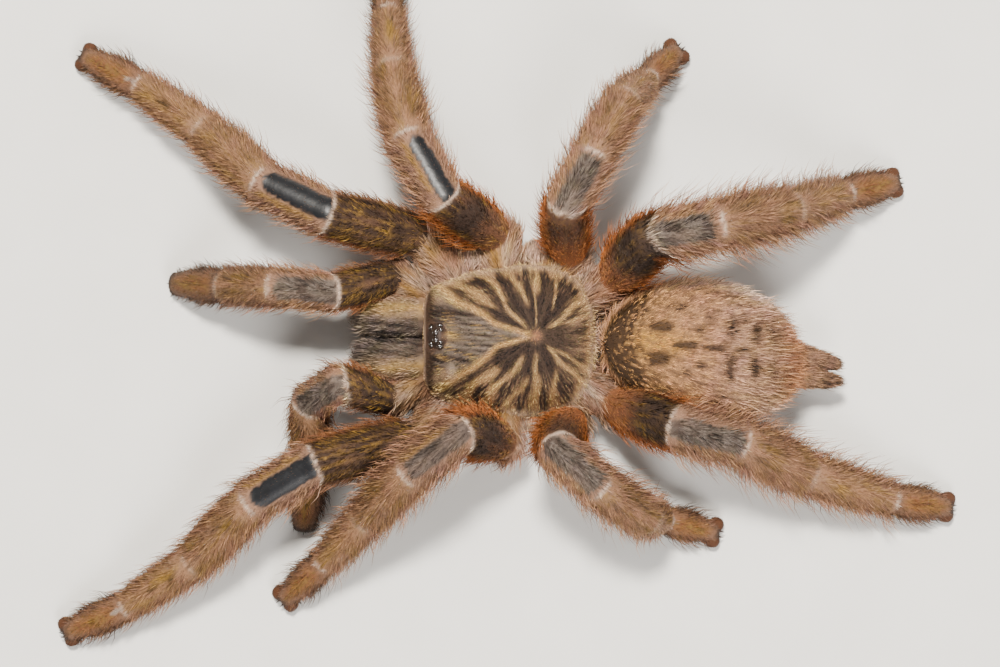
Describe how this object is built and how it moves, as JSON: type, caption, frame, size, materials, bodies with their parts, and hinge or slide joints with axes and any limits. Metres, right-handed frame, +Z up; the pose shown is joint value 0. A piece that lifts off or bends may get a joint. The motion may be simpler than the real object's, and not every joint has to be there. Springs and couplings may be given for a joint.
{
  "type": "tarantula",
  "caption": "Starburst baboon tarantula, an adult female standing with all legs spread, furry, with a radiating pattern on its carapace, as a still life-size model.",
  "frame": {"origin": "on the floor, under the middle of the animal's box", "axes": "+Z up, -X the way the head points, +Y the animal's right side"},
  "size_m": [0.1052, 0.0816, 0.0211],
  "materials": {
    "leg_hair": "dense pinkish-brown hair with golden streaks, dull",
    "carapace_hair": "short flat hair, black with a cream-yellow starburst",
    "abdomen_hair": "velvety orange-tan hair with dark spots",
    "chelicera_hair": "grey-black hair with pale yellow stripes",
    "skin": "brown skin under the hair, with bare grey-black shiny patches on the knees",
    "horn": "polished black horn",
    "eye": "glossy black lenses on a black mound"
  },
  "bodies": {
    "root": {"leg_1_right_femur": "leg_hair", "leg_1_right_patella": "leg_hair", "leg_1_right_tibia": "leg_hair", "leg_1_right_metatarsus": "leg_hair", "leg_1_right_tarsus": "leg_hair", "leg_2_right_femur": "leg_hair", "leg_2_right_patella": "leg_hair", "leg_2_right_tibia": "leg_hair", "leg_2_right_metatarsus": "leg_hair", "leg_2_right_tarsus": "leg_hair", "leg_3_right_femur": "leg_hair", "leg_3_right_patella": "leg_hair", "leg_3_right_tibia": "leg_hair", "leg_3_right_metatarsus": "leg_hair", "leg_3_right_tarsus": "leg_hair", "leg_4_right_femur": "leg_hair", "leg_4_right_patella": "leg_hair", "leg_4_right_tibia": "leg_hair", "leg_4_right_metatarsus": "leg_hair", "leg_4_right_tarsus": "leg_hair", "leg_1_left_femur": "leg_hair", "leg_1_left_patella": "leg_hair", "leg_1_left_tibia": "leg_hair", "leg_1_left_metatarsus": "leg_hair", "leg_1_left_tarsus": "leg_hair", "leg_2_left_femur": "leg_hair", "leg_2_left_patella": "leg_hair", "leg_2_left_tibia": "leg_hair", "leg_2_left_metatarsus": "leg_hair", "leg_2_left_tarsus": "leg_hair", "leg_3_left_femur": "leg_hair", "leg_3_left_patella": "leg_hair", "leg_3_left_tibia": "leg_hair", "leg_3_left_metatarsus": "leg_hair", "leg_3_left_tarsus": "leg_hair", "leg_4_left_femur": "leg_hair", "leg_4_left_patella": "leg_hair", "leg_4_left_tibia": "leg_hair", "leg_4_left_metatarsus": "leg_hair", "leg_4_left_tarsus": "leg_hair", "palp_right_femur": "leg_hair", "palp_right_patella": "leg_hair", "palp_right_tibia": "leg_hair", "palp_right_tarsus": "leg_hair", "palp_left_femur": "leg_hair", "palp_left_patella": "leg_hair", "palp_left_tibia": "leg_hair", "palp_left_tarsus": "leg_hair", "prosoma_base": "skin", "carapace": "carapace_hair", "eye_tubercle": "eye", "abdomen": "abdomen_hair", "chelicera_right": "chelicera_hair", "fang_right": "horn", "spinneret_right": "abdomen_hair", "chelicera_left": "chelicera_hair", "fang_left": "horn", "spinneret_left": "abdomen_hair"}
  },
  "joints": []
}
